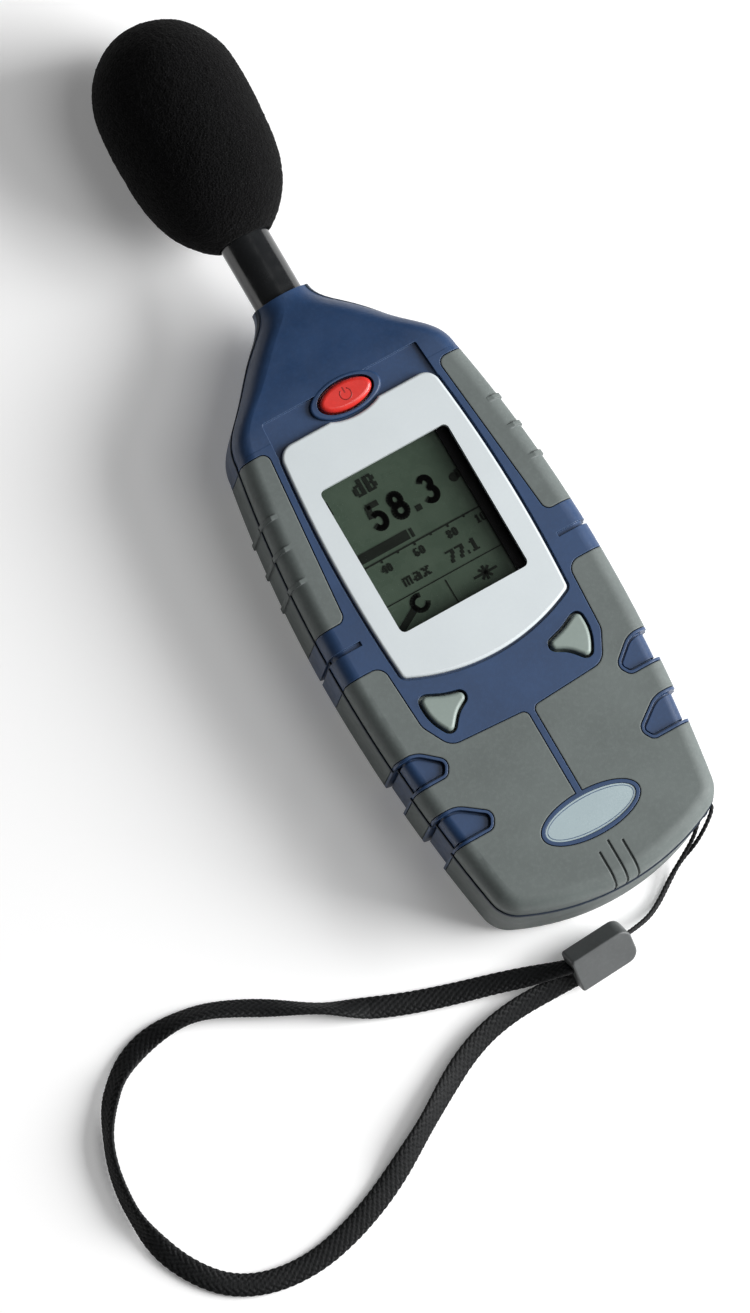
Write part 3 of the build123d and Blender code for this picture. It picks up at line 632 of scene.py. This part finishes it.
# Smooth strokes of the big reading: each digit is arcs and lines, drawn with a broad pen.
DIGIT_STROKES = {
    "5": ([(0.92, 1.0), (0.22, 1.0), (0.14, 0.56)], (0.50, 0.31, 0.42, 0.31, 118, -155)),
    "8": ([], (0.50, 0.74, 0.36, 0.25, 0, 360), (0.50, 0.27, 0.43, 0.27, 0, 360)),
    "3": ([], (0.47, 0.74, 0.36, 0.25, 150, -80), (0.47, 0.27, 0.43, 0.27, 80, -150)),
}


def stroke(ink, line, pen):
    """A pen of constant width drawn along a line, as short overlapping slabs."""
    for (x0, y0), (x1, y1) in zip(line, line[1:]):
        length = math.hypot(x1 - x0, y1 - y0)
        ux, uy = (x1 - x0) / length, (y1 - y0) / length
        nx, ny = -uy * pen / 2, ux * pen / 2
        ex, ey = ux * pen * 0.22, uy * pen * 0.22
        ink.slab([(x0 - ex + nx, y0 - ey + ny), (x0 - ex - nx, y0 - ey - ny),
                  (x1 + ex - nx, y1 + ey - ny), (x1 + ex + nx, y1 + ey + ny)])


def big_digit(ink, digit, x, y, wide, tall, pen):
    lines, *arcs = DIGIT_STROKES[digit]
    inner_w, inner_t = wide - pen, tall - pen
    ox, oy = x + pen / 2, y + pen / 2
    if lines:
        stroke(ink, [(ox + a * inner_w, oy + b * inner_t) for a, b in lines], pen)
    for cx, cy, rx, ry, start, end in arcs:
        angles = [math.radians(start + (end - start) * i / ARC_STEPS) for i in range(ARC_STEPS + 1)]
        line = [(ox + (cx + rx * math.cos(a)) * inner_w, oy + (cy + ry * math.sin(a)) * inner_t)
                for a in angles]
        stroke(ink, line, pen)


def add_display():
    glass_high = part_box("lcd_glass")[1]
    ink = Ink(glass_high.z + INK_RISE)
    left, right = -18.8, 15.2
    ink.text("dB", -9.6, -7.3, 0.56, 0.60)
    for digit, x in (("5", -10.1), ("8", -4.3), ("3", 4.2)):
        big_digit(ink, digit, x, -17.2, 5.0, 7.6, 1.45)
    ink.bar(1.6, -17.1, 3.1, -15.6)
    ink.bar(left, -22.0, -3.2, -19.5)
    ink.bar(-2.6, -22.0, -1.9, -19.7)
    ink.bar(left, -23.35, right, -22.95)
    for i in range(8):
        x = -16.9 + i * 4.62
        ink.bar(x - 0.22, -23.95 if i % 2 else -23.7, x + 0.22, -23.3)
    # The frame hides the last digit of the scale's 100.
    for number, x in (("40", -13.4), ("60", -4.3), ("80", 4.9), ("10", 12.7)):
        ink.text(number, x, -26.7, 0.25, 0.30, 0.0)
    ink.text("max", -10.2, -31.9, 0.43, 0.46)
    ink.text("77.1", 2.2, -32.2, 0.43, 0.46)
    ink.bar(left, -34.05, right, -33.8)
    ink.bar(-1.15, -42.9, -0.95, -34.9)
    # Battery symbol, cut by the frame's left edge.
    ink.bar(left, -7.9, -16.6, -7.4)
    ink.bar(-17.1, -7.4, -16.6, -4.4)
    ink.bar(-17.6, -4.0, -17.1, -3.4)
    ink.bar(left, -3.4, -17.6, -3.0)
    ink.bar(left, -7.1, -17.5, -6.0)
    # Spanner symbol: a slanted handle with a forked jaw.
    stroke(ink, [(-17.2, -40.9), (-10.6, -37.2)], 1.7)
    jaw = [(-9.2 + 1.9 * math.cos(math.radians(a)), -36.8 + 1.9 * math.sin(math.radians(a)))
           for a in range(70, 341, 18)]
    stroke(ink, jaw, 1.2)
    # Lamp symbol: a small disc with rays and a bar each side.
    for angle in range(0, 180, 45):
        reach = 3.0 if angle == 0 else 1.7
        dx, dy = reach * math.cos(math.radians(angle)), reach * math.sin(math.radians(angle))
        stroke(ink, [(8.4 - dx, -38.0 - dy), (8.4 + dx, -38.0 + dy)], 0.62)
    disc = [(13.6 + 1.2 * math.cos(math.tau * i / 16), -13.9 + 1.2 * math.sin(math.tau * i / 16))
            for i in range(16)]
    ink.slab(disc)
    ink.bar(14.2, -14.6, right, -12.4)
    dark = moulded("lcd_ink", (0.013, 0.016, 0.013), 0.85, 0.3 * MM, 0.002 * MM, 0.2, specular=0.0)
    make_piece("display_marks", ink.finish("display_marks"), "lcd", smooth=False, finish=dark)


add_display()


# ------------------------------------------------------------------ power symbol and badge line
def flat_ring(name, centre, radius_x, radius_y, width, z, thick, start=0.0, end=360.0, steps=64):
    """A thin raised line along an ellipse, or part of one."""
    rings = []
    for i in range(steps + 1):
        angle = math.radians(start + (end - start) * i / steps)
        out = Vector((math.cos(angle), math.sin(angle), 0))
        middle = Vector((centre[0] + radius_x * out.x, centre[1] + radius_y * out.y, z))
        half = out * width / 2
        rise = Vector((0, 0, thick))
        rings.append([middle - half, middle + half, middle + half * 0.8 + rise, middle - half * 0.8 + rise])
    return ring_tube(name, rings)


def add_power_symbol():
    low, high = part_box("power_button")
    centre = ((low.x + high.x) / 2, (low.y + high.y) / 2)
    z = high.z - 0.02 * MM
    darker = moulded("symbol_red", (0.30, 0.012, 0.010), 0.4, 0.3 * MM, 0.002 * MM, 0.1)
    arc = flat_ring("power_symbol", centre, 1.45 * MM, 1.45 * MM, 0.32 * MM, z, 0.06 * MM, 122.0, 418.0, 28)
    make_piece("power_symbol", arc, "button_red", "power_button", finish=darker)
    stem = [Vector((centre[0] + dx * MM, centre[1] + dy * MM, z)) for dx, dy in
            ((-0.16, 0.3), (0.16, 0.3), (0.16, 1.9), (-0.16, 1.9))]
    top = [p + Vector((0, 0, 0.06 * MM)) for p in stem]
    mesh = mesh_from("power_symbol_stem", stem + top,
                     [(3, 2, 1, 0), (4, 5, 6, 7), (0, 1, 5, 4), (1, 2, 6, 5), (2, 3, 7, 6), (3, 0, 4, 7)])
    make_piece("power_symbol_stem", mesh, "button_red", "power_button", smooth=False, finish=darker)


def add_badge_line():
    low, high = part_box("badge_plate")
    centre = ((low.x + high.x) / 2, (low.y + high.y) / 2)
    ink = moulded("badge_ink", (0.05, 0.09, 0.17), 0.4, 0.3 * MM, 0.002 * MM, 0.1)
    half_x, half_y = (high.x - low.x) / 2, (high.y - low.y) / 2
    border = flat_ring("badge_border", centre, half_x - 0.55 * MM, half_y - 0.55 * MM, 0.22 * MM,
                       high.z - 0.01 * MM, 0.03 * MM, steps=96)
    make_piece("badge_border", border, "badge_pale", finish=ink)


add_power_symbol()
add_badge_line()


# ------------------------------------------------------------------ floor and light
FLOOR_HALF = 6.0
FLOOR_DROP = 0.02 * MM    # keeps the floor from flickering through what rests on it


def add_floor():
    side = FLOOR_HALF
    mesh = mesh_from("floor", [(-side, -side, 0), (side, -side, 0), (side, side, 0), (-side, side, 0)],
                     [(0, 1, 2, 3)])
    floor = bpy.data.objects.new("floor", mesh)
    shader = Shader("pale_floor")
    shader.principled.inputs["Base Color"].default_value = (0.93, 0.93, 0.93, 1)
    shader.principled.inputs["Roughness"].default_value = 0.9
    shader.principled.inputs["Specular IOR Level"].default_value = 0.1
    shader.principled.inputs["Emission Color"].default_value = (1, 1, 1, 1)
    shader.principled.inputs["Emission Strength"].default_value = 0.18
    mesh.materials.append(shader.material)
    floor.location.z = -FLOOR_DROP
    bpy.context.scene.collection.objects.link(floor)


def add_light(name, place, size, power, aim=(0, -0.03, 0.0), colour=(1, 1, 1)):
    data = bpy.data.lights.new(name, "AREA")
    data.size = size
    data.energy = power
    data.color = colour
    lamp = bpy.data.objects.new(name, data)
    lamp.location = place
    lamp.rotation_euler = (Vector(aim) - Vector(place)).to_track_quat("-Z", "Y").to_euler()
    bpy.context.scene.collection.objects.link(lamp)


def add_world(strength):
    world = bpy.data.worlds.new("studio")
    world.use_nodes = True
    world.node_tree.nodes["Background"].inputs["Color"].default_value = (1, 1, 1, 1)
    world.node_tree.nodes["Background"].inputs["Strength"].default_value = strength
    bpy.context.scene.world = world


add_floor()
add_light("key", (1.05, -0.60, 0.66), 0.9, 35.0)
add_light("overhead", (0.55, -0.35, 1.6), 0.8, 7.0)
add_world(0.05)
bpy.context.scene.view_settings.view_transform = "Standard"
